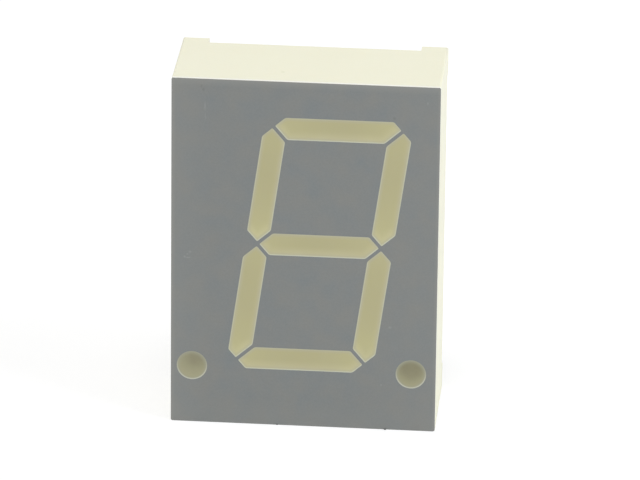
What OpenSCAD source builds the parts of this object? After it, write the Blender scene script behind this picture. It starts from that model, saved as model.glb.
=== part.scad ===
// Single-digit seven segment LED display, 20.32 mm digit, with a decimal point on each side.
// It stands on its lower edge: +X is the reader's right, +Y goes back to the pins, +Z is up the digit.
// The origin is the middle of the part's footprint, at the lower edge. All sizes are in millimetres.

/* [Package] */
// Width of the package across the digit
package_w = 20; // [20:0.5:26]
// Height of the package along the digit
package_h = 27.7; // [27.7:0.5:36]
// Depth from the printed face to the rear rim
package_d = 7.7; // [7.2:0.1:10]
// Thickness of the wall round the rear recess
rim_wall = 1; // [0.8:0.1:1.2]
// Radius of the package's four long corners
corner_r = 0.15; // [0.05:0.05:0.4]
// Side of each square corner foot
foot_w = 2; // [1.6:0.1:2.4]
// How far the corner feet stand behind the rear rim
foot_h = 0.9; // [0.4:0.1:1.6]
// Thickness of the grey ink on the face
ink_t = 0.05; // [0.02:0.01:0.1]

/* [Digit] */
// Clear face above the digit
face_above = 2.85; // [2.4:0.05:3.4]
// Clear face below the digit
face_below = 4.53; // [4.2:0.01:5]
// Clear face to the left of the leaning digit's corner
face_left = 4.12; // [3.9:0.02:5]
// Clear face to the right of the leaning digit's corner
face_right = 1.92; // [1.7:0.02:2.6]
// Lean of the digit from upright, in degrees
digit_lean = 8; // [0:0.5:10]
// Width of a segment's stroke
stroke_w = 1.76; // [1.4:0.02:2]
// Width of the grey line between neighbouring segments
stroke_gap = 0.26; // [0.15:0.01:0.4]
// How far each outer corner of the digit is cut back
corner_cut = 1.52; // [1.2:0.02:1.8]

/* [Decimal points] */
// Diameter of a decimal point's window
dot_d = 2.3; // [2:0.05:2.4]
// Left window's centre, in from the package's left side
dot_left_in = 1.6; // [1.5:0.05:1.7]
// Right window's centre, in from the package's right side
dot_right_in = 1.87; // [1.7:0.01:1.9]
// Both windows' centres, up from the package's lower edge
dot_up = 4.6; // [4.4:0.05:4.8]

/* [Light wells] */
// Share of a segment's window that its well narrows to at the board
segment_taper = 0.52; // [0.45:0.01:0.7]
// Share of a decimal point's window that its well narrows to at the board
dot_taper = 0.9; // [0.85:0.01:0.95]
// Thickness of the housing's front wall over a cored pocket
front_wall = 1.6; // [1.2:0.1:2.2]
// Thickness left between a well and a cored pocket, at the face
pocket_wall = 0.6; // [0.5:0.05:0.9]

/* [Circuit board] */
// Depth of the rear recess, which the board lies at the bottom of
recess_d = 2.7; // [2.5:0.1:3]
// Thickness of the board
board_t = 1; // [0.8:0.1:1.2]
// Gap between the board's edge and the recess
board_gap = 0.15; // [0.1:0.05:0.25]
// Thickness of the copper on the board
copper_t = 0.035; // [0.035:0.005:0.07]
// Width of a copper track
track_w = 0.25; // [0.2:0.01:0.3]
// Depth of the potting's surface below the rear rim
potting_drop = 0.4; // [0.2:0.05:0.7]

/* [Pins] */
// Each column of pins, in from the package's side
pin_side_in = 2.38; // [2.2:0.01:2.5]
// First and last place of a column, in from the package's ends. The nine places share out the rest.
pin_end_in = 3.69; // [3.6:0.01:4]
// Diameter of a pin's leg
pin_d = 0.5; // [0.4:0.05:0.56]
// Width across the corners of a pin's root, inside the board and the potting
pin_root_d = 0.64; // [0.58:0.02:0.7]
// How far the pins reach behind the corner feet
pin_reach = 5; // [3:0.1:6]
// Width of the bevel at a pin's tip
pin_tip = 0.12; // [0.05:0.01:0.15]
// Radial room for solder between a pin's root and its hole
hole_room = 0.1; // [0.05:0.01:0.12]
// Width of the copper ring round a hole in front
front_ring_w = 0.08; // [0.05:0.01:0.15]
// Width of the copper ring round a hole behind
rear_ring_w = 0.3; // [0.2:0.02:0.4]
// Height of the solder fillet above its pad
solder_h = 0.6; // [0.3:0.05:0.7]

/* [LED dice] */
// Side of an LED die
die_w = 0.3; // [0.24:0.01:0.36]
// Height of an LED die
die_h = 0.25; // [0.15:0.01:0.3]
// Side of the square copper pad under a die
die_pad_w = 0.55; // [0.45:0.01:0.6]
// Side of the square copper pad at a wire's far end
bond_pad_w = 0.4; // [0.3:0.01:0.45]
// Distance from a segment's die to its wire's far end
bond_span = 1.2; // [1:0.05:1.3]
// Distance from a decimal point's die to its wire's far end
dot_bond_span = 0.75; // [0.65:0.01:0.78]
// Diameter of a bond wire
wire_d = 0.05; // [0.04:0.01:0.06]

/* [Hidden] */
$fn = 48;
LETTERS = ["a", "b", "c", "d", "e", "f", "g"];
SIDES = ["left", "right"];
// Openings are numbered with the segments a to g first, and then the decimal points
LAST_SEGMENT = len(LETTERS) - 1;
LAST_OPENING = len(LETTERS) + len(SIDES) - 1;
SEGMENTS = [for (s = LETTERS) str("segment_", s)];
DOTS = [for (s = SIDES) str("dot_", s)];
DICE = [for (s = LETTERS) str("die_", s), for (s = SIDES) str("die_dot_", s)];
// Pin numbers run down the left column from 1 and up the right column from 10. Five places are empty.
PIN_NUMBERS = [2, 3, 4, 5, 6, 7, 10, 11, 12, 13, 14, 15, 17];
PINS = [for (n = PIN_NUMBERS) str("pin_", n)];

// Depths are measured back from the printed face
board_depth = package_d - recess_d;
foot_depth = package_d + foot_h;
tip_depth = foot_depth + pin_reach;
front_y = -tip_depth / 2;
board_front = board_depth + copper_t;
board_rear = board_front + board_t;
pad_rear = board_rear + copper_t;
potting_rear = package_d - potting_drop;

// The digit fills the face between its margins. Its width is measured before it leans.
mid_z = package_h / 2;
lean = tan(digit_lean);
digit_h = package_h - face_above - face_below;
digit_w = package_w - face_left - face_right - digit_h * lean;
digit_centre = [(face_left - face_right) / 2, mid_z + (face_below - face_above) / 2];
dot_centres = [
    [dot_left_in - package_w / 2, dot_up],
    [package_w / 2 - dot_right_in, dot_up]
];

recess_w = package_w - 2 * rim_wall;
recess_h = package_h - 2 * rim_wall;
board_w = recess_w - 2 * board_gap;
board_h = recess_h - 2 * board_gap;
hole_d = pin_root_d + 2 * hole_room;
front_ring_d = hole_d + 2 * front_ring_w;
rear_pad_d = hole_d + 2 * rear_ring_w;
pin_rows = 9;
pin_pitch = (package_h - 2 * pin_end_in) / (pin_rows - 1);
cut_past = 1;

// The digit is laid out upright about its own centre, and then leans.
// A slope is where x + z or x - z is constant. The gap is as wide as stated once the digit leans.
half_w = digit_w / 2;
half_h = digit_h / 2;
upright_w = stroke_w / cos(digit_lean);
half_gap_sum = stroke_gap / 2 * sqrt(1 + pow(1 - lean, 2));
half_gap_difference = stroke_gap / 2 * sqrt(1 + pow(1 + lean, 2));
cut_slope = half_w + half_h - corner_cut;
middle_left = upright_w / 2 - half_w;

// Point where x + z = s meets x - z = d
function crossing(s, d) = [(s + d) / 2, (s - d) / 2];

// The same points after half a turn about the digit's centre
function turned(points) = [for (p = points) -p];

upper_left_segment = [
    crossing(middle_left + half_gap_sum, middle_left - half_gap_difference),
    [-half_w, upright_w / 2 + half_gap_sum],
    [-half_w, half_h - corner_cut],
    crossing(half_h - half_w - half_gap_sum, -cut_slope),
    [upright_w - half_w, half_h - upright_w - half_gap_sum],
    [upright_w - half_w, upright_w / 2 + half_gap_difference]
];
upper_right_segment = [
    crossing(half_gap_sum - middle_left, -middle_left - half_gap_difference),
    [half_w - upright_w, upright_w / 2 + half_gap_sum],
    [half_w - upright_w, half_h - upright_w - half_gap_difference],
    crossing(cut_slope, half_w - half_h + half_gap_difference),
    [half_w, half_h - corner_cut],
    [half_w, upright_w / 2 + half_gap_difference]
];
top_segment = [
    crossing(half_h - half_w + half_gap_sum, -cut_slope),
    [corner_cut - half_w, half_h],
    [half_w - corner_cut, half_h],
    crossing(cut_slope, half_w - half_h - half_gap_difference),
    [half_w - stroke_w - half_gap_difference, half_h - stroke_w],
    [stroke_w + half_gap_sum - half_w, half_h - stroke_w]
];
middle_segment = [
    crossing(middle_left + half_gap_sum, middle_left + half_gap_difference),
    [middle_left + half_gap_difference + stroke_w / 2, stroke_w / 2],
    [-middle_left - half_gap_sum - stroke_w / 2, stroke_w / 2],
    crossing(-middle_left - half_gap_sum, -middle_left - half_gap_difference),
    [-middle_left - half_gap_difference - stroke_w / 2, -stroke_w / 2],
    [middle_left + half_gap_sum + stroke_w / 2, -stroke_w / 2]
];

// Segments a to g, in the letters' order
upright_segments = [
    top_segment, upper_right_segment, turned(upper_left_segment), turned(top_segment),
    turned(upper_right_segment), upper_left_segment, middle_segment
];

function leaned(p) = digit_centre + [p[0] + p[1] * lean, p[1]];
function outline(i) = [for (p = upright_segments[i]) leaned(p)];
function middle(points) = [for (p = points) 1] * points / len(points);
function segment_centre(i) = middle(outline(i));

// Pin n's place in the face's plane
function pin_row(n) = n <= pin_rows ? n - 1 : 2 * pin_rows - n;
function pin_at(n) = [
    (n <= pin_rows ? -1 : 1) * (package_w / 2 - pin_side_in),
    package_h - pin_end_in - pin_row(n) * pin_pitch
];

// Each die's place, and the direction from it to its wire's far end
along_lean = [sin(digit_lean), cos(digit_lean)];
die_places = [for (i = [0:LAST_SEGMENT]) segment_centre(i), for (c = dot_centres) c];
bond_directions = [
    [-1, 0], -along_lean, along_lean, [1, 0], along_lean, along_lean, [1, 0], [0, 1], [-1, 0]
];
function span(i) = i < len(LETTERS) ? bond_span : dot_bond_span;
function bond_place(i) = die_places[i] + span(i) * bond_directions[i];

// Lays a flat outline in the face's plane, from one depth back to another
module layer(from, to) {
    translate([0, front_y + to, 0]) rotate([90, 0, 0]) linear_extrude(to - from) children();
}

// Stands a shape that was made along Z on a place in the face's plane, pointing back
module standing(place, depth) {
    translate([place[0], front_y + depth, place[1]]) rotate([-90, 0, 0]) children();
}

// Square plate with four rounded corners, centred on the package
module rounded_plate(w, h, r, from, to) {
    layer(from, to) translate([-w / 2 + r, mid_z - h / 2]) square([w - 2 * r, h]);
    layer(from, to) translate([-w / 2, mid_z - h / 2 + r]) square([w, h - 2 * r]);
    for (sx = [-1, 1], sz = [-1, 1])
        standing([sx * (w / 2 - r), mid_z + sz * (h / 2 - r)], from) cylinder(r = r, h = to - from);
}

module corner_squares(side, from, to) {
    for (sx = [-1, 1], sz = [-1, 1])
        layer(from, to)
            translate([
                sx * (package_w - side) / 2 - side / 2,
                mid_z + sz * (package_h - side) / 2 - side / 2
            ]) square(side);
}

// The window of opening i: a segment's outline, or a decimal point's circle
module window(i, from, to) {
    if (i < len(LETTERS)) layer(from, to) polygon(outline(i));
    else standing(dot_centres[i - len(LETTERS)], from) cylinder(d = dot_d, h = to - from);
}

// The well of opening i, which tapers from its window to the board
module well(i) {
    if (i < len(LETTERS)) {
        c = segment_centre(i);
        translate([c[0], front_y + board_depth, c[1]]) rotate([90, 0, 0])
            linear_extrude(board_depth, scale = 1 / segment_taper)
                polygon([for (p = outline(i)) segment_taper * (p - c)]);
    } else {
        standing(dot_centres[i - len(LETTERS)], 0)
            cylinder(d1 = dot_d, d2 = dot_d * dot_taper, h = board_depth);
    }
}

// Pockets cored from the rear, between the strokes and beside them, to keep the walls even
module cored_pockets() {
    inner = half_w - upright_w - pocket_wall;
    low = stroke_w / 2 + pocket_wall;
    high = half_h - stroke_w - pocket_wall;
    beside = -half_w - pocket_wall;
    flank_w = digit_centre[0] - half_w - lean * high - pocket_wall + recess_w / 2 - pocket_wall;
    for (s = [-1, 1])
        layer(front_wall, board_depth + cut_past)
            polygon([for (p = [[-inner, low], [inner, low], [inner, high], [-inner, high]]) leaned(s * p)]);
    layer(front_wall, board_depth + cut_past)
        polygon([
            for (p = [[beside - flank_w, low], [beside, low], [beside, high], [beside - flank_w, high]])
                leaned(p)
        ]);
}

// Injection-moulded housing: reflector wells in front, a recess for the board behind, and four feet
module reflector_housing() {
    color("ivory") difference() {
        union() {
            difference() {
                rounded_plate(package_w, package_h, corner_r, ink_t, package_d);
                layer(board_depth, package_d + cut_past)
                    translate([-recess_w / 2, mid_z - recess_h / 2]) square([recess_w, recess_h]);
            }
            intersection() {
                rounded_plate(package_w, package_h, corner_r, ink_t, foot_depth);
                corner_squares(foot_w, board_depth, foot_depth);
            }
        }
        for (i = [0:LAST_OPENING]) well(i);
        cored_pockets();
    }
}

// Grey ink on the face, open at each window
module face_ink() {
    color("gray") difference() {
        rounded_plate(package_w, package_h, corner_r, 0, ink_t);
        for (i = [0:LAST_OPENING]) window(i, -cut_past, ink_t + cut_past);
    }
}

module die(i) {
    color("goldenrod") layer(board_depth - die_h, board_depth)
        translate(die_places[i] - [die_w, die_w] / 2) square(die_w);
}

// Wire from the top of a die, over in a half ring, and straight down to its copper pad
module bond_wire(i) {
    d = bond_directions[i];
    half = (die_places[i] + bond_place(i)) / 2;
    color("gold") translate([half[0], front_y + board_depth - die_h, half[1]])
        rotate([180, -atan2(d[1], d[0]), 0]) {
            rotate_extrude(angle = 180) translate([span(i) / 2, 0]) circle(d = wire_d, $fn = 16);
            translate([span(i) / 2, 0, 0]) rotate([90, 0, 0]) cylinder(d = wire_d, h = die_h, $fn = 16);
        }
}

module bond_wires() {
    for (i = [0:LAST_OPENING]) bond_wire(i);
}

// Clear epoxy with a diffusing powder, cast in a well over its die and wire
module epoxy(i) {
    color("palegoldenrod") difference() {
        well(i);
        die(i);
        bond_wire(i);
    }
}

// Board's outline: a rectangle that clears the recess and its corner feet
module board_blank(from, to) {
    difference() {
        layer(from, to) translate([-board_w / 2, mid_z - board_h / 2]) square([board_w, board_h]);
        corner_squares(foot_w + board_gap, from - cut_past, to + cut_past);
    }
}

module circuit_board() {
    color("darkseagreen") difference() {
        board_blank(board_front, board_rear);
        for (n = PIN_NUMBERS)
            standing(pin_at(n), board_front - cut_past) cylinder(d = hole_d, h = board_t + 2 * cut_past);
    }
}

// Straight run of copper with round ends
module track(p, q) {
    run = q - p;
    translate(p) rotate(atan2(run[1], run[0])) translate([0, -track_w / 2]) square([norm(run), track_w]);
    for (end = [p, q]) translate(end) circle(d = track_w, $fn = 24);
}

module route(points) {
    for (k = [1:len(points) - 1]) track(points[k - 1], points[k]);
}

// From p, straight along X and then at 45 degrees to q, or the other way round
function level_then_slope(p, q) = [p, [q[0] - sign(q[0] - p[0]) * abs(q[1] - p[1]), p[1]], q];
function slope_then_level(p, q) = [p, [p[0] + sign(q[0] - p[0]) * abs(q[1] - p[1]), q[1]], q];
function upright_then_slope(p, q) = [p, [p[0], q[1] - sign(q[1] - p[1]) * abs(q[0] - p[0])], q];
function slope_then_upright(p, q) = [p, [q[0], p[1] + sign(q[1] - p[1]) * abs(q[0] - p[0])], q];

// Each cathode pin to its wire's far end
cathode_routes = [
    slope_then_level(pin_at(2), bond_place(0)),
    slope_then_upright(pin_at(15), bond_place(1)),
    level_then_slope(pin_at(13), bond_place(2)),
    slope_then_level(pin_at(11), bond_place(3)),
    level_then_slope(pin_at(5), bond_place(4)),
    slope_then_level(pin_at(3), bond_place(5)),
    level_then_slope(pin_at(14), bond_place(6)),
    slope_then_upright(pin_at(7), bond_place(7)),
    upright_then_slope(bond_place(8), pin_at(10))
];

// Each common anode pin to the dice that it feeds. The right lane runs between pin 11 and the board's edge.
right_lane = (pin_at(11)[0] + front_ring_d / 2 + board_w / 2) / 2;
low_left_route = slope_then_level(pin_at(6), die_places[4]);
anode_routes = [
    slope_then_level(pin_at(17), die_places[0]),
    upright_then_slope(pin_at(17), die_places[1]),
    low_left_route,
    upright_then_slope(low_left_route[1], die_places[7]),
    level_then_slope(pin_at(4), die_places[5]),
    level_then_slope(pin_at(4), die_places[6]),
    level_then_slope(pin_at(12), die_places[2]),
    level_then_slope(pin_at(12), die_places[3]),
    [
        pin_at(12),
        [right_lane, pin_at(12)[1] - (right_lane - pin_at(12)[0])],
        [right_lane, die_places[8][1] + (right_lane - die_places[8][0])],
        die_places[8]
    ]
];

// Copper on the side of the board that faces the wells
module front_tracks() {
    color("peru") difference() {
        layer(board_depth, board_front) {
            for (r = cathode_routes) route(r);
            for (r = anode_routes) route(r);
            for (i = [0:LAST_OPENING]) {
                translate(die_places[i] - [die_pad_w, die_pad_w] / 2) square(die_pad_w);
                translate(bond_place(i) - [bond_pad_w, bond_pad_w] / 2) square(bond_pad_w);
            }
            for (n = PIN_NUMBERS) translate(pin_at(n)) circle(d = front_ring_d);
        }
        for (n = PIN_NUMBERS)
            standing(pin_at(n), board_depth - cut_past) cylinder(d = hole_d, h = copper_t + 2 * cut_past);
    }
}

module rear_pads() {
    color("peru") difference() {
        for (n = PIN_NUMBERS) standing(pin_at(n), board_rear) cylinder(d = rear_pad_d, h = copper_t);
        for (n = PIN_NUMBERS)
            standing(pin_at(n), board_rear - cut_past) cylinder(d = hole_d, h = copper_t + 2 * cut_past);
    }
}

// Eight-sided root of a pin, wider than its leg, that grips the board and ends at the potting's surface
module pin_root(n) {
    standing(pin_at(n), board_depth) cylinder(d = pin_root_d, h = potting_rear - board_depth, $fn = 8);
}

// Pin: the root, then a straight round leg with a bevelled tip
module pin(n) {
    color("silver") {
        pin_root(n);
        standing(pin_at(n), potting_rear) cylinder(d = pin_d, h = tip_depth - pin_tip - potting_rear);
        standing(pin_at(n), tip_depth - pin_tip)
            cylinder(d1 = pin_d, d2 = pin_d - 2 * pin_tip, h = pin_tip);
    }
}

// Solder that fills a pin's hole and rises in a fillet behind its pad
module solder_blank(n) {
    on_pad = pad_rear - board_depth;
    standing(pin_at(n), board_depth) rotate_extrude()
        polygon([
            [0, 0],
            [hole_d / 2, 0],
            [hole_d / 2, on_pad],
            [rear_pad_d / 2 - rear_ring_w / 6, on_pad],
            [(pin_root_d + rear_ring_w) / 2, on_pad + solder_h / 2],
            [pin_root_d / 2 + rear_ring_w / 8, on_pad + solder_h],
            [0, on_pad + solder_h]
        ]);
}

module solder_joint(n) {
    color("lightgray") difference() {
        solder_blank(n);
        pin_root(n);
    }
}

module solder_joints() {
    for (n = PIN_NUMBERS) solder_joint(n);
}

// Epoxy poured round and behind the board
module potting() {
    color("blanchedalmond") difference() {
        layer(board_depth, potting_rear)
            translate([-recess_w / 2, mid_z - recess_h / 2]) square([recess_w, recess_h]);
        corner_squares(foot_w, board_depth - cut_past, foot_depth);
        board_blank(board_depth - cut_past, board_rear);
        rear_pads();
        for (n = PIN_NUMBERS) {
            solder_blank(n);
            pin_root(n);
        }
    }
}

reflector_housing();
face_ink();
for (i = [0:LAST_SEGMENT]) {
    epoxy(i);
}
for (i = [0:len(DOTS) - 1]) {
    epoxy(i + len(LETTERS));
}
circuit_board();
front_tracks();
rear_pads();
for (i = [0:LAST_OPENING]) {
    die(i);
}
bond_wires();
for (k = [0:len(PINS) - 1]) {
    pin(PIN_NUMBERS[k]);
}
solder_joints();
potting();
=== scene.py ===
import math
import random

import bmesh
import bpy
from mathutils import Matrix, Vector


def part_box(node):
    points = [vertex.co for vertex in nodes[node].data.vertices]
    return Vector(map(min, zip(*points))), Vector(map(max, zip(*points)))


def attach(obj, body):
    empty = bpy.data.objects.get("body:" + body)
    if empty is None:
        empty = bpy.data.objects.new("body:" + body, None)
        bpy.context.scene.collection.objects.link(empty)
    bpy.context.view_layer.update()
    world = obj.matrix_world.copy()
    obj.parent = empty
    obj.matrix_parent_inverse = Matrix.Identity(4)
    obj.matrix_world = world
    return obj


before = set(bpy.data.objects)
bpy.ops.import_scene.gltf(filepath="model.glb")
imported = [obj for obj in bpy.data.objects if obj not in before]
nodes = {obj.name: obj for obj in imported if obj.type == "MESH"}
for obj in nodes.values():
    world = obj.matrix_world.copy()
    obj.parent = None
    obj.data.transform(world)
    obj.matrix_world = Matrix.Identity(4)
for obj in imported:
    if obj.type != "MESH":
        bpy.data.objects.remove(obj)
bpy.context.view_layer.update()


# Camera. It stands half a metre in front of the face, above it and a little to its right, and it is tilted by
# less than a degree. Its place is given in millimetres from the middle of the face.
def put(name, data):
    """Adds an object with this camera, mesh or lamp to the scene."""
    thing = bpy.data.objects.new(name, data)
    bpy.context.scene.collection.objects.link(thing)
    return thing


mm = 0.001
azimuth, elevation, roll = (math.radians(angle) for angle in (4.504, 22.13, 0.661))
shift_right, shift_up, distance = 1.176, 1.200, 487.667
pixels_per_mm, picture_width, sensor_width = 13.385, 640, 36
cam_back = Vector((
    math.sin(azimuth) * math.cos(elevation), -math.cos(azimuth) * math.cos(elevation), math.sin(elevation)))
level = Vector((math.cos(azimuth), math.sin(azimuth), 0))
upright = cam_back.cross(level)
cam_right = level * math.cos(roll) + upright * math.sin(roll)
cam_up = upright * math.cos(roll) - level * math.sin(roll)
face_low, face_high = (Vector(corner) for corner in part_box("face_ink"))
face_middle = Vector((0, face_low.y, (face_low.z + face_high.z) / 2))
camera = put("camera", bpy.data.cameras.new("camera"))
camera.location = face_middle + (shift_right * cam_right + shift_up * cam_up + distance * cam_back) * mm
camera.rotation_mode = "QUATERNION"
camera.rotation_quaternion = Matrix((cam_right, cam_up, cam_back)).transposed().to_quaternion()
camera.data.sensor_width = sensor_width
camera.data.lens = pixels_per_mm * distance * sensor_width / picture_width
camera.data.clip_start = 0.01
camera.data.clip_end = 5
bpy.context.scene.camera = camera
bpy.context.scene.view_settings.view_transform = "Standard"


# Floor: a wide plain white card that the display stands on. It looks white to the camera and in glossy
# surfaces, where much of its white is lift, so that the display's soft shadow stays faint. It lies a hair
# below the display, so that the two don't share a plane.
def linear(code):
    """An sRGB hex colour as linear values, with an alpha of 1."""
    parts = [int(code[i:i + 2], 16) / 255 for i in (0, 2, 4)]
    return [c / 12.92 if c <= 0.04045 else ((c + 0.055) / 1.055) ** 2.4 for c in parts] + [1.0]


def add(tree, kind, values=None, links=None):
    """Adds a shader node. A value or link goes to the input of that name or number, else to a setting."""
    made = tree.nodes.new("ShaderNode" + kind)
    for key, value in (values or {}).items():
        if isinstance(key, str) and hasattr(made, key):
            setattr(made, key, value)
        else:
            made.inputs[key].default_value = value
    for key, (source, output) in (links or {}).items():
        tree.links.new(source.outputs[output], made.inputs[key])
    return made


def material(name):
    """A new material, its empty tree, its coordinates in metres, and the link that takes a pattern there."""
    mat = bpy.data.materials.new(name)
    mat.use_nodes = True
    mat.node_tree.nodes.clear()
    coords = add(mat.node_tree, "TexCoord")
    return mat, mat.node_tree, coords, {"Vector": (coords, "Object")}


def seen_rays(tree):
    """Tells the rays that show the card and the surround from those that light the display."""
    ray = add(tree, "LightPath")
    seen = add(tree, "Math", {"operation": "MAXIMUM"}, {0: (ray, "Is Camera Ray"), 1: (ray, "Is Glossy Ray")})
    return add(tree, "Math", {"operation": "MAXIMUM"}, {0: (seen, 0), 1: (ray, "Is Transmission Ray")})


floor_reach, floor_drop = 3, 0.02 * mm
card, tree, coords, placed = material("white_card")
grain = add(tree, "TexNoise", {"Scale": 1 / (3.0 * mm), "Detail": 3}, placed)
tint = add(tree, "Mix", {"data_type": "RGBA", 6: linear("FBFBFB"), 7: linear("FEFEFE")}, {0: (grain, 0)})
paper = add(tree, "BsdfPrincipled", {"Roughness": 0.9, "Specular IOR Level": 0.1}, {"Base Color": (tint, 2)})
dull = add(tree, "Mix", {"data_type": "RGBA", 6: linear("B2B2B2"), 7: linear("B4B4B4")}, {0: (grain, 0)})
matt = add(tree, "BsdfDiffuse", {"Roughness": 0.9}, {"Color": (dull, 2)})
lift = add(tree, "Emission", {"Color": linear("FFFFFF"), "Strength": 0.65})
lifted = add(tree, "AddShader", links={0: (matt, 0), 1: (lift, 0)})
shown = add(tree, "MixShader", links={0: (seen_rays(tree), 0), 1: (paper, 0), 2: (lifted, 0)})
add(tree, "OutputMaterial", links={"Surface": (shown, 0)})
floor_mesh = bpy.data.meshes.new("floor")
floor_mesh.from_pydata([(sx * floor_reach, sy * floor_reach, -floor_drop) for sx, sy in (
    (-1, -1), (1, -1), (1, 1), (-1, 1))], [], [(0, 1, 2, 3)])
floor_mesh.materials.append(card)
floor = put("floor", floor_mesh)


# Light: an even white surround with one broad panel above and one to the right, so that the top and the
# right side come out brighter than the face, with only a faint soft shadow.
world = bpy.data.worlds.new("surround")
bpy.context.scene.world = world
world.use_nodes = True
tree = world.node_tree
tree.nodes.clear()
lit = add(tree, "Background", {"Color": linear("FFFFFF"), "Strength": 0.45})
white = add(tree, "Background", {"Color": linear("FFFFFF"), "Strength": 1.0})
both = add(tree, "MixShader", links={0: (seen_rays(tree), 0), 1: (lit, 0), 2: (white, 0)})
add(tree, "OutputWorld", links={"Surface": (both, 0)})
lit_spot = Vector((0, 0, 0.01))
for name, place, size, power, hue in [  # place and size in metres, power in watts
    ("panel_above", (-0.05, -0.10, 0.55), 0.35, 1.2, "FFFFFF"),
    ("panel_right", (0.42, -0.16, 0.20), 0.25, 0.84, "F1F7FF"),
]:
    lamp = bpy.data.lights.new(name, "AREA")
    lamp.size = size
    lamp.energy = power
    lamp.color = linear(hue)[:3]
    panel = put(name, lamp)
    panel.location = place
    panel.rotation_mode = "QUATERNION"
    panel.rotation_quaternion = (lit_spot - Vector(place)).to_track_quat("-Z", "Y")


# Housing: one injection moulding in satin ivory polycarbonate, whose mould leaves spark-textured flanks and
# slightly round edges. A band just behind the front is painted near white: a painted highlight for the bright
# line that the round edge along the front of the top catches. The spark texture is drawn at 0.06 mm, coarser
# than it is, so that it shows.
def clothe(node, mat):
    """Gives a CAD node its material on every face."""
    if not nodes[node].material_slots:
        nodes[node].data.materials.append(None)
    for slot in nodes[node].material_slots:
        slot.link = "OBJECT"
        slot.material = mat


def soften(node, width, segments):
    """Rounds the edges of a CAD node that are sharper than 35 degrees, with modifiers only."""
    weld = nodes[node].modifiers.new("weld", "WELD")
    weld.merge_threshold = 0.001 * mm
    bevel = nodes[node].modifiers.new("bevel", "BEVEL")
    bevel.width = width
    bevel.segments = segments
    bevel.limit_method = "ANGLE"
    bevel.angle_limit = math.radians(35)
    bevel.use_clamp_overlap = True
    bevel.harden_normals = True


highlight_inner, highlight_outer = face_low.y + 0.34 * mm, face_low.y + 0.18 * mm
speck_on_top = Vector((-1.9 * mm, face_low.y + 2.05 * mm, face_high.z))
speck_radius, speck_core = 0.22 * mm, 0.05 * mm
ivory, tree, coords, placed = material("ivory_polycarbonate")
cloud = add(tree, "TexNoise", {"Scale": 1 / (5.0 * mm), "Detail": 2}, placed)
fleck = add(tree, "TexNoise", {"Scale": 1 / (0.25 * mm), "Detail": 3}, placed)
spark = add(tree, "TexNoise", {"Scale": 1 / (0.06 * mm), "Detail": 2}, placed)
tint = add(tree, "Mix", {"data_type": "RGBA", 6: linear("F3F0D5"), 7: linear("F7F5DC")}, {0: (cloud, 0)})
fine = add(tree, "MapRange", {"From Min": 0.3, "From Max": 0.7, "To Max": 0.35}, {"Value": (fleck, 0)})
base = add(tree, "Mix", {"data_type": "RGBA", 7: linear("F7F5E0")}, {0: (fine, 0), 6: (tint, 2)})
part = add(tree, "SeparateXYZ", links={0: (coords, "Object")})
# Painted highlight: near white in a band just behind the face, strongest within 0.18 mm of it
front_highlight = add(tree, "MapRange", {
    "interpolation_type": "SMOOTHSTEP", "From Min": highlight_inner, "From Max": highlight_outer, "To Max": 0.9,
}, {"Value": (part, 1)})
base = add(tree, "Mix", {"data_type": "RGBA", 7: linear("FEFDF2")}, {0: (front_highlight, 0), 6: (base, 2)})
away = add(tree, "VectorMath", {"operation": "DISTANCE", 1: speck_on_top}, {0: (coords, "Object")})
near = add(tree, "MapRange", {
    "interpolation_type": "SMOOTHSTEP", "From Min": speck_radius, "From Max": speck_core, "To Max": 0.35,
}, {"Value": (away, "Value")})
base = add(tree, "Mix", {"data_type": "RGBA", 7: linear("D9DAAF")}, {0: (near, 0), 6: (base, 2)})
rough = add(tree, "MapRange", {"To Min": 0.38, "To Max": 0.52}, {"Value": (fleck, 0)})
wave = add(tree, "Bump", {"Strength": 0.15, "Distance": 0.02 * mm}, {"Height": (cloud, 0)})
skin = add(tree, "Bump", {"Strength": 0.25, "Distance": 0.004 * mm},
           {"Height": (spark, 0), "Normal": (wave, 0)})
shell = add(tree, "BsdfPrincipled", {
    "IOR": 1.58, "Subsurface Weight": 0.12, "Subsurface Radius": (1.0, 0.9, 0.7),
    "Subsurface Scale": 0.4 * mm,
}, {"Base Color": (base, 2), "Roughness": (rough, 0), "Normal": (skin, 0)})
add(tree, "OutputMaterial", links={"Surface": (shell, 0)})
clothe("reflector_housing", ivory)
soften("reflector_housing", 0.06 * mm, 2)


# Face ink: one flat matt grey coat, printed on the front only, so its cut edge shows the ivory below, painted
# near white there as a highlight. Painted light makes it a little paler near its edges, to the left, to the
# right and towards the bottom, and it carries a few faint scratches and specks. The flash that stands out in
# front of the face is darker.
light, dark = "A9ABA9", "6B6E6C"
scratches_and_specks = [  # x and z on the face, half width and half height, in millimetres, hue and weight
    (-8.98, 13.42, 0.12, 0.12, light, 0.42), (-8.72, 13.36, 0.30, 0.08, light, 0.36),
    (-8.78, 13.62, 0.12, 0.10, light, 0.28), (-8.58, 13.82, 0.16, 0.14, light, 0.32),
    (-7.50, 25.54, 0.08, 0.50, light, 0.34), (-7.46, 24.70, 0.08, 0.40, light, 0.14),
    (6.50, 8.35, 0.20, 0.15, light, 0.30), (9.05, 26.43, 0.09, 0.18, light, 0.28),
    (5.90, 3.63, 0.12, 0.12, light, 0.28), (6.59, 25.14, 0.14, 0.16, dark, 0.30),
    (-7.62, 26.84, 0.14, 0.20, dark, 0.30), (-7.76, 27.12, 0.12, 0.20, dark, 0.22),
]
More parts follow.
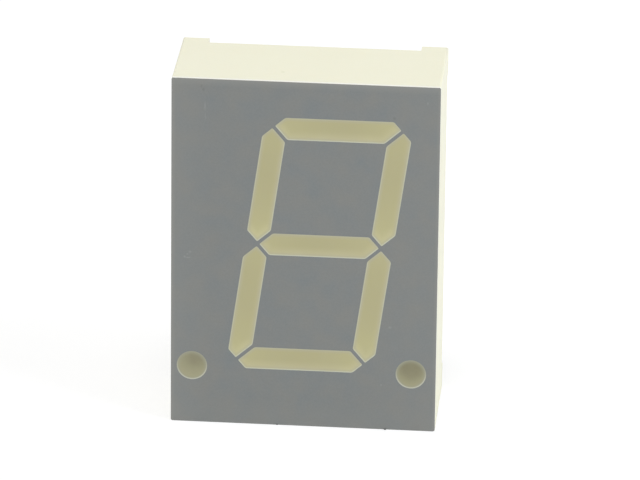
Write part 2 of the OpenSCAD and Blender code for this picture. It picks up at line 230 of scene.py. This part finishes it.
# Painted light: highlights along the left, right and top edges, and broad paler zones to the right, to the
# left and towards the bottom
painted_light_zones = [  # axis, where the zone ends and where it is full, and its weight
    (0, 4.0 * mm, 10.0 * mm, 0.14), (0, face_low.x + 3.0 * mm, face_low.x, 0.30),
    (2, face_low.z + 2.2 * mm, face_low.z, 0.34), (0, face_low.x + 0.35 * mm, face_low.x, 0.75),
    (0, face_high.x - 0.25 * mm, face_high.x, 0.75), (2, face_high.z - 0.60 * mm, face_high.z, 0.75),
]
flash_from, flash_full = face_low.y - 0.01 * mm, face_low.y - 0.04 * mm
bare_highlight_from, bare_highlight_full = face_high.z - 0.010 * mm, face_high.z - 0.002 * mm
ink, tree, coords, placed = material("grey_ink")
mottle = add(tree, "TexNoise", {"Scale": 1 / (1.6 * mm), "Detail": 4}, placed)
dust = add(tree, "TexNoise", {"Scale": 1 / (0.12 * mm), "Detail": 2}, placed)
tint = add(tree, "Mix", {"data_type": "RGBA", 6: linear("7F878A"), 7: linear("908E87")}, {0: (mottle, 0)})
part = add(tree, "SeparateXYZ", links={0: (coords, "Object")})
fine = add(tree, "MapRange", {"From Min": 0.35, "From Max": 0.65, "To Max": 0.10}, {"Value": (dust, 0)})
base = add(tree, "Mix", {"data_type": "RGBA", 7: linear("A2A4A2")}, {0: (fine, 0), 6: (tint, 2)})
for axis, ends, full, weight in painted_light_zones:
    lit_zone = add(tree, "MapRange", {"From Min": ends, "From Max": full, "To Max": weight},
               {"Value": (part, axis)})
    base = add(tree, "Mix", {"data_type": "RGBA", 7: linear("989893")}, {0: (lit_zone, 0), 6: (base, 2)})
for x, z, half_width, half_height, hue, weight in scratches_and_specks:
    stretch = Vector((1 / half_width, 0, 1 / half_height))
    middle = Vector((x, 0, z)) * stretch
    scaled = add(tree, "VectorMath", {"operation": "MULTIPLY", 1: stretch / mm}, {0: (coords, "Object")})
    away = add(tree, "VectorMath", {"operation": "DISTANCE", 1: middle}, {0: (scaled, 0)})
    near = add(tree, "MapRange", {
        "interpolation_type": "SMOOTHSTEP", "From Min": 1.0, "From Max": 0.2, "To Max": weight,
    }, {"Value": (away, "Value")})
    base = add(tree, "Mix", {"data_type": "RGBA", 7: linear(hue)}, {0: (near, 0), 6: (base, 2)})
out = add(tree, "MapRange", {"From Min": flash_from, "From Max": flash_full}, {"Value": (part, 1)})
base = add(tree, "Mix", {"data_type": "RGBA", 7: linear("6C6E6C")}, {0: (out, 0), 6: (base, 2)})
# The ink's top edge is painted near white: the ivory below, with a painted highlight
bare_edge_highlight = add(tree, "MapRange", {"From Min": bare_highlight_from, "From Max": bare_highlight_full}, {"Value": (part, 2)})
base = add(tree, "Mix", {"data_type": "RGBA", 7: linear("FDFCF0")}, {0: (bare_edge_highlight, 0), 6: (base, 2)})
rough = add(tree, "MapRange", {"To Min": 0.50, "To Max": 0.62}, {"Value": (mottle, 0)})
peel = add(tree, "Bump", {"Strength": 0.2, "Distance": 0.005 * mm}, {"Height": (dust, 0)})
coat = add(tree, "BsdfPrincipled", {"IOR": 1.5, "Specular IOR Level": 0.35},
           {"Base Color": (base, 2), "Roughness": (rough, 0), "Normal": (peel, 0)})
add(tree, "OutputMaterial", links={"Surface": (coat, 0)})
clothe("face_ink", ink)
soften("face_ink", 0.045 * mm, 1)


# Flash: two tiny slivers of ink that the printing left on the lower front edge. Each is an irregular flake
# with a straight back against the edge, and it narrows from its lower sheet to its upper one.
def piece_from(bm, name, mat):
    """Turns a finished bmesh into a piece that rides with the display."""
    bmesh.ops.recalc_face_normals(bm, faces=bm.faces)
    mesh = bpy.data.meshes.new(name)
    bm.to_mesh(mesh)
    bm.free()
    mesh.materials.append(mat)
    piece = put(name, mesh)
    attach(piece, "root")


random.seed(7)
teeth, sunk = 7, 0.02
edge = face_low.y / mm
for name, x, wide, out in [("ink_flash_right", 6.25, 0.24, 0.20), ("ink_flash_middle", -1.93, 0.16, 0.10)]:
    bm = bmesh.new()
    sheets = []
    for z, share in ((0.01, 1.0), (0.09, 0.55)):
        sheet = [bm.verts.new(Vector((x + wide * side, edge + sunk, z)) * mm) for side in (0.5, -0.5)]
        for k in range(teeth):
            reach = out * share * math.sin(math.pi * (k + 1) / (teeth + 1)) * random.uniform(0.7, 1.0)
            along = x + wide * (k - teeth // 2) / (teeth + 1)
            sheet.append(bm.verts.new(Vector((along, edge - reach, z)) * mm))
        sheets.append(sheet)
    under, over = sheets
    bm.faces.new(under)
    bm.faces.new(over)
    for k in range(len(under)):
        after = (k + 1) % len(under)
        bm.faces.new((under[k], under[after], over[after], over[k]))
    piece_from(bm, name, ink)


# Segments: epoxy clouded with a diffusing powder and cast flush with the face, so it looks milky and satin.
# A painted highlight runs as a thin bright line along the lower and side edges, where the pale wall of the
# well catches the light, and painted shade darkens the middle, less so towards the tips. Ink has crept over
# the corners. The powder is drawn at 0.05 mm, coarser than it is.
def epoxy_material(name, outline, heart):
    """Epoxy with a painted highlight line along the straight sides of its outline, and painted shade in its
    middle that is lighter far from its heart. Sizes in mm.
    """
    corner_creep, line_ends, line_full, core_from, core_full = 0.17, 0.13, 0.03, 0.15, 0.9
    heart_to_tip, palest = 5.2, 0.26
    mat, tree, coords, placed = material(name)
    flat = add(tree, "VectorMath", {"operation": "MULTIPLY", 1: (1 / mm, 0, 1 / mm)}, {0: (coords, "Object")})
    cloud = add(tree, "TexNoise", {"Scale": 1 / (2.2 * mm), "Detail": 2}, placed)
    powder = add(tree, "TexNoise", {"Scale": 1 / (0.05 * mm), "Detail": 2}, placed)
    # Nearest leads to the painted shade of the core, line is the painted highlight line, and round_edge has
    # its corners rounded off
    nearest, line, round_edge = None, None, None
    sides = list(zip(outline, outline[1:] + outline[:1]))
    turns = sum(p.x * q.y - q.x * p.y for p, q in sides)
    for p, q in sides:
        side = (q - p).normalized() * (1 if turns > 0 else -1)
        out = Vector((side.y, -side.x))
        along = add(tree, "VectorMath", {"operation": "DOT_PRODUCT", 1: (out.x, 0, out.y)},
                    {0: (flat, 0)})
        depth = add(tree, "Math", {"operation": "SUBTRACT", 0: out.dot(p)}, {1: (along, "Value")})
        # An upper side's wall stays in painted shade, and a lower or a left one gets the brighter painted
        # highlight line
        shaded = min(1.0, max(0.0, 0.40 + 0.55 * out.y))
        bright = min(1.0, max(0.22, 0.50 - 0.60 * out.y - 0.05 * out.x))
        wall = add(tree, "Math", {"operation": "ADD", 1: shaded}, {0: (depth, 0)})
        wall_highlight = add(tree, "MapRange", {
            "interpolation_type": "SMOOTHSTEP", "From Min": line_ends, "From Max": line_full,
            "To Max": bright,
        }, {"Value": (depth, 0)})
        if nearest is None:
            nearest, line, round_edge = wall, wall_highlight, depth
        else:
            round_edge = add(tree, "Math", {"operation": "SMOOTH_MIN", 2: corner_creep},
                             {0: (round_edge, 0), 1: (depth, 0)})
            nearest = add(tree, "Math", {"operation": "MINIMUM"}, {0: (nearest, 0), 1: (wall, 0)})
            line = add(tree, "Math", {"operation": "MAXIMUM"}, {0: (line, 0), 1: (wall_highlight, 0)})
    core_shade = add(tree, "MapRange", {
        "interpolation_type": "SMOOTHSTEP", "From Min": core_from, "From Max": core_full,
    }, {"Value": (nearest, 0)})
    crept = add(tree, "MapRange", {"From Min": 0.01, "From Max": -0.01}, {"Value": (round_edge, 0)})
    away = add(tree, "VectorMath", {"operation": "DISTANCE", 1: (heart.x, 0, heart.y)}, {0: (flat, 0)})
    away = add(tree, "Math", {"operation": "POWER", 1: 2.0}, {0: (away, "Value")})
    far = add(tree, "MapRange", {"From Max": heart_to_tip ** 2, "To Max": palest}, {"Value": (away, 0)})
    return mat, tree, cloud, powder, core_shade, far, round_edge, line, crept


def finish_epoxy(tree, cloud, powder, core_shade, far, depth, line, crept, pale, shade_tone, haze, rim_highlight, cloudy):
    """Mixes the epoxy's tones with its painted shade, a haze near its edge, the painted highlight line and
    any ink, and adds the cast skin.
    """
    haze_ends, haze_full, haze_weight = 0.36, 0.02, 0.65
    # Painted shade: the shade tone fills the core, with less of it far from the heart, towards the tips
    tint = add(tree, "Mix", {"data_type": "RGBA", 6: linear(pale), 7: linear(shade_tone)}, {0: (core_shade, 0)})
    if far:
        tint = add(tree, "Mix", {"data_type": "RGBA", 7: linear("E8E4A3")}, {0: (far, 0), 6: (tint, 2)})
    drift = add(tree, "MapRange", {"From Min": 0.35, "From Max": 0.65, "To Max": cloudy},
                {"Value": (cloud, 0)})
    tint = add(tree, "Mix", {"data_type": "RGBA", 7: linear("C0B990")}, {0: (drift, 0), 6: (tint, 2)})
    veil = add(tree, "MapRange", {
        "interpolation_type": "SMOOTHSTEP", "From Min": haze_ends, "From Max": haze_full,
        "To Max": haze_weight,
    }, {"Value": (depth, 0)})
    tint = add(tree, "Mix", {"data_type": "RGBA", 7: linear(haze)}, {0: (veil, 0), 6: (tint, 2)})
    # Painted highlight: the bright line along the lit walls of the well
    tint = add(tree, "Mix", {"data_type": "RGBA", 7: linear(rim_highlight)}, {0: (line, 0), 6: (tint, 2)})
    if crept:
        tint = add(tree, "Mix", {"data_type": "RGBA", 7: linear("868887")}, {0: (crept, 0), 6: (tint, 2)})
    rough = add(tree, "MapRange", {"To Min": 0.30, "To Max": 0.42}, {"Value": (powder, 0)})
    cast = add(tree, "Bump", {"Strength": 0.12, "Distance": 0.003 * mm}, {"Height": (powder, 0)})
    resin = add(tree, "BsdfPrincipled", {
        "IOR": 1.54, "Subsurface Weight": 0.25, "Subsurface Radius": (1.0, 0.85, 0.5),
        "Subsurface Scale": 0.25 * mm,
    }, {"Base Color": (tint, 2), "Roughness": (rough, 0), "Normal": (cast, 0)})
    add(tree, "OutputMaterial", links={"Surface": (resin, 0)})


heart_rise, lean = 1.1, 0.14
for letter in "abcdefg":
    points = [v.co / mm for v in nodes["segment_" + letter].data.vertices]
    front = min(point.y for point in points)
    corners = sorted({(round(p.x, 3), round(p.z, 3)) for p in points if p.y < front + 0.001})
    centre = sum((Vector(c) for c in corners), Vector((0, 0))) / len(corners)
    outline = sorted((Vector(c) for c in corners), key=lambda c: math.atan2(c.y - centre.y, c.x - centre.x))
    # An upright segment's painted shade is darkest above its middle, up along its lean
    rise = 0 if letter in "adg" else heart_rise
    heart = centre + Vector((lean * rise, rise))
    mat, tree, *fields = epoxy_material("milky_epoxy_" + letter, outline, heart)
    finish_epoxy(tree, *fields, pale="CBC59C", shade_tone="C0BA8D", haze="C0BCA0", rim_highlight="D8D8BF", cloudy=0.22)
    clothe("segment_" + letter, mat)


# Decimal points: the same epoxy in a round well. Each is darker than a segment, with painted shade darkest
# near its top, and a painted highlight as a bright crescent where the lower wall of the well catches the
# light. The right one is the darker of the two.
shade_reach, crescent, crescent_full = 1.95, 0.14, 0.04
bright_from, bright_full = 0.60, -0.95
for side, dark_x, dark_z, darkest, pale, shade_tone in [
    ("left", 0.25, 0.70, 0.2, "B3AF8B", "969275"), ("right", 0.00, 0.75, 0.5, "AEAA87", "8E8A6C"),
]:
    low, high = (Vector(corner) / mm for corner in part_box("dot_" + side))
    middle = Vector((low.x + high.x, 0, low.z + high.z)) / 2
    radius = (high.x - low.x) / 2
    shade_middle = middle + Vector((dark_x, 0, dark_z))
    mat, tree, coords, placed = material("milky_epoxy_dot_" + side)
    cloud = add(tree, "TexNoise", {"Scale": 1 / (0.9 * mm), "Detail": 2}, placed)
    powder = add(tree, "TexNoise", {"Scale": 1 / (0.05 * mm), "Detail": 2}, placed)
    flat = add(tree, "VectorMath", {"operation": "MULTIPLY", 1: (1 / mm, 0, 1 / mm)}, {0: (coords, "Object")})
    away = add(tree, "VectorMath", {"operation": "DISTANCE", 1: middle}, {0: (flat, 0)})
    shade = add(tree, "VectorMath", {"operation": "DISTANCE", 1: shade_middle}, {0: (flat, 0)})
    # Painted shade, darkest near the top of the well
    core_shade = add(tree, "MapRange", {
        "interpolation_type": "SMOOTHSTEP", "From Min": shade_reach, "From Max": darkest,
    }, {"Value": (shade, "Value")})
    part = add(tree, "SeparateXYZ", links={0: (flat, 0)})
    # Painted highlight: a bright crescent along the lower wall of the well
    below = add(tree, "MapRange", {
        "interpolation_type": "SMOOTHSTEP", "From Min": middle.z + bright_from,
        "From Max": middle.z + bright_full, "To Min": 0.08, "To Max": 0.95,
    }, {"Value": (part, 2)})
    depth = add(tree, "Math", {"operation": "SUBTRACT", 0: radius}, {1: (away, "Value")})
    rim_highlight = add(tree, "MapRange", {
        "interpolation_type": "SMOOTHSTEP", "From Min": crescent, "From Max": crescent_full,
    }, {"Value": (depth, 0)})
    line = add(tree, "Math", {"operation": "MULTIPLY"}, {0: (rim_highlight, 0), 1: (below, 0)})
    finish_epoxy(tree, cloud, powder, core_shade, None, depth, line, None,
                 pale, shade_tone, haze="A8A893", rim_highlight="D2D2BE", cloudy=0.10)
    clothe("dot_" + side, mat)


# Circuit board: a sheet of paper pressed with phenolic resin, tan, satin and faintly streaked. It is seated
# behind the wells and hidden by the potting.
board, tree, coords, placed = material("phenolic_board")
weave = add(tree, "TexWave", {"Scale": 1 / (1.2 * mm), "Distortion": 2.0, "bands_direction": "Z"}, placed)
blot = add(tree, "TexNoise", {"Scale": 1 / (2.0 * mm), "Detail": 3}, placed)
amount = add(tree, "Math", {"operation": "MULTIPLY"}, {0: (weave, 1), 1: (blot, 0)})
tint = add(tree, "Mix", {"data_type": "RGBA", 6: linear("C2B37C"), 7: linear("D2C691")}, {0: (amount, 0)})
sheet = add(tree, "BsdfPrincipled", {"IOR": 1.6, "Roughness": 0.5}, {"Base Color": (tint, 2)})
add(tree, "OutputMaterial", links={"Surface": (sheet, 0)})
clothe("circuit_board", board)


# Metal on the board: copper tracks and pads that were etched from foil, with a soft sheen, and gold bond
# wires, drawn fine and bright.
def metal(name, dark, pale, rough_low, rough_high, grain_size, drawn=(1, 1, 1)):
    """Metal whose grain, coarser than real, also varies its roughness. Drawn lengthens it along an axis."""
    mat, tree, coords, placed = material(name)
    along = add(tree, "VectorMath", {"operation": "MULTIPLY", 1: drawn}, {0: (coords, "Object")})
    grain = add(tree, "TexNoise", {"Scale": 1 / grain_size, "Detail": 3}, {"Vector": (along, 0)})
    tint = add(tree, "Mix", {"data_type": "RGBA", 6: linear(dark), 7: linear(pale)}, {0: (grain, 0)})
    rough = add(tree, "MapRange", {"To Min": rough_low, "To Max": rough_high}, {"Value": (grain, 0)})
    marks = add(tree, "Bump", {"Strength": 0.2, "Distance": 0.002 * mm}, {"Height": (grain, 0)})
    body = add(tree, "BsdfPrincipled", {"Metallic": 1.0},
               {"Base Color": (tint, 2), "Roughness": (rough, 0), "Normal": (marks, 0)})
    add(tree, "OutputMaterial", links={"Surface": (body, 0)})
    return mat


copper = metal("copper_foil", "B97C4A", "D59A68", 0.30, 0.45, 0.15 * mm)
clothe("front_tracks", copper)
clothe("rear_pads", copper)
clothe("bond_wires", metal("gold_wire", "D8A848", "EBC56C", 0.15, 0.25, 0.05 * mm))


# LED dice: small sawn blocks of brown semiconductor crystal, one bonded to its track under each well. They
# are smooth and glossy.
crystal, tree, coords, placed = material("led_crystal")
facet = add(tree, "TexNoise", {"Scale": 1 / (0.1 * mm), "Detail": 2}, placed)
tint = add(tree, "Mix", {"data_type": "RGBA", 6: linear("6E522C"), 7: linear("9A7640")}, {0: (facet, 0)})
chip = add(tree, "BsdfPrincipled", {"IOR": 3.3, "Roughness": 0.2}, {"Base Color": (tint, 2)})
add(tree, "OutputMaterial", links={"Surface": (chip, 0)})
for well in list("abcdefg") + ["dot_left", "dot_right"]:
    clothe("die_" + well, crystal)


# Pins: legs of tinned wire, drawn lengthwise, so their bright surface is streaked along them, and bevelled
# at the tip. Solder, smoother and a little darker, fills round them where they pass the board.
tin = metal("tinned_wire", "B4B6B8", "D2D4D6", 0.22, 0.38, 0.12 * mm, (1, 0.12, 1))
pins = sorted(name for name in nodes if name.startswith("pin_"))
for name in pins:
    clothe(name, tin)
clothe("solder_joints", metal("solder", "AEB1B5", "CBCED1", 0.18, 0.34, 0.3 * mm))


# Potting: milky epoxy poured behind the board, level and glossy, slightly cloudy, with small bubbles. Each
# pin's solder shows through it as a faint grey disc.
disc_outer, disc_inner = 0.78, 0.52
potting, tree, coords, placed = material("potting_epoxy")
cloud = add(tree, "TexNoise", {"Scale": 1 / (3.5 * mm), "Detail": 3}, placed)
cells = add(tree, "TexVoronoi", {"Scale": 1 / (1.1 * mm)}, placed)
tint = add(tree, "Mix", {"data_type": "RGBA", 6: linear("D8D1B2"), 7: linear("E3DEC6")}, {0: (cloud, 0)})
bubble = add(tree, "MapRange", {
    "interpolation_type": "SMOOTHSTEP", "From Min": 0.10, "From Max": 0.04, "To Max": 0.5,
}, {"Value": (cells, "Distance")})
base = add(tree, "Mix", {"data_type": "RGBA", 7: linear("F0ECDA")}, {0: (bubble, 0), 6: (tint, 2)})
flat = add(tree, "VectorMath", {"operation": "MULTIPLY", 1: (1 / mm, 0, 1 / mm)}, {0: (coords, "Object")})
for name in pins:
    a, b = (Vector(corner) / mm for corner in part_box(name))
    root = ((a.x + b.x) / 2, 0, (a.z + b.z) / 2)
    away = add(tree, "VectorMath", {"operation": "DISTANCE", 1: root}, {0: (flat, 0)})
    under = add(tree, "MapRange", {
        "interpolation_type": "SMOOTHSTEP", "From Min": disc_outer, "From Max": disc_inner, "To Max": 0.45,
    }, {"Value": (away, "Value")})
    base = add(tree, "Mix", {"data_type": "RGBA", 7: linear("B4B2A6")}, {0: (under, 0), 6: (base, 2)})
swell = add(tree, "Bump", {"Strength": 0.25, "Distance": 0.03 * mm}, {"Height": (cloud, 0)})
pock = add(tree, "Bump", {"Strength": 0.3, "Distance": 0.01 * mm},
           {"Height": (bubble, 0), "Normal": (swell, 0)})
poured = add(tree, "BsdfPrincipled", {
    "IOR": 1.54, "Roughness": 0.22, "Subsurface Weight": 0.3, "Subsurface Radius": (1.0, 0.85, 0.55),
    "Subsurface Scale": 0.5 * mm,
}, {"Base Color": (base, 2), "Normal": (pock, 0)})
add(tree, "OutputMaterial", links={"Surface": (poured, 0)})
clothe("potting", potting)


# Climb of the potting: surface tension drew it up each pin and up the recess wall before it set. Each is
# a closed band with a concave front, its other sides sunk into the potting and into what it climbs. The
# section is given in shares of the band's width and height.
low, high = (Vector(corner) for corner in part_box("potting"))
curve = [(1 - math.sin(t), 1 - math.cos(t)) for t in (math.radians(15 * k) for k in range(7))]
section = [(1, -0.2)] + curve + [(-0.2, 1), (-0.2, -0.2)]


def climb(loops, name):
    """Joins loops of points, one for each point of the section, into a closed band."""
    bm = bmesh.new()
    rings = [[bm.verts.new(point) for point in loop] for loop in loops]
    for ring, after in zip(rings, rings[1:] + rings[:1]):
        for k in range(len(ring)):
            along = (k + 1) % len(ring)
            bm.faces.new((ring[k], ring[along], after[along], after[k]))
    piece_from(bm, name, potting)


pin_radius, pin_band, pin_climb = 0.25 * mm, 0.25 * mm, 0.22 * mm
turn = [math.tau * k / 24 for k in range(24)]
for name in pins:
    a, b = (Vector(corner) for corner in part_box(name))
    x, z = (a.x + b.x) / 2, (a.z + b.z) / 2
    loops = []
    for out, up in section:
        r, y = pin_radius + pin_band * out, high.y + pin_climb * up
        loops.append([(x + r * math.cos(t), y, z + r * math.sin(t)) for t in turn])
    climb(loops, "potting_climb_" + name)

# Each corner of the recess is stepped round its foot, by the same length each way. A corner is given by its
# side in x and z, and by its steps from there
foot_step, wall_band, wall_climb = 1.0 * mm, 0.18 * mm, 0.16 * mm
corners = [(-1, -1, 0, 1), (-1, -1, 1, 1), (-1, -1, 1, 0), (1, -1, -1, 0), (1, -1, -1, 1), (1, -1, 0, 1),
           (1, 1, 0, -1), (1, 1, -1, -1), (1, 1, -1, 0), (-1, 1, 1, 0), (-1, 1, 1, -1), (-1, 1, 0, -1)]
loops = []
for out, up in section:
    inward = wall_band * out
    loops.append([
        ((low.x if sx < 0 else high.x) + nx * foot_step - sx * inward, high.y + wall_climb * up,
         (low.z if sz < 0 else high.z) + nz * foot_step - sz * inward) for sx, sz, nx, nz in corners
    ])
climb(loops, "potting_climb_wall")
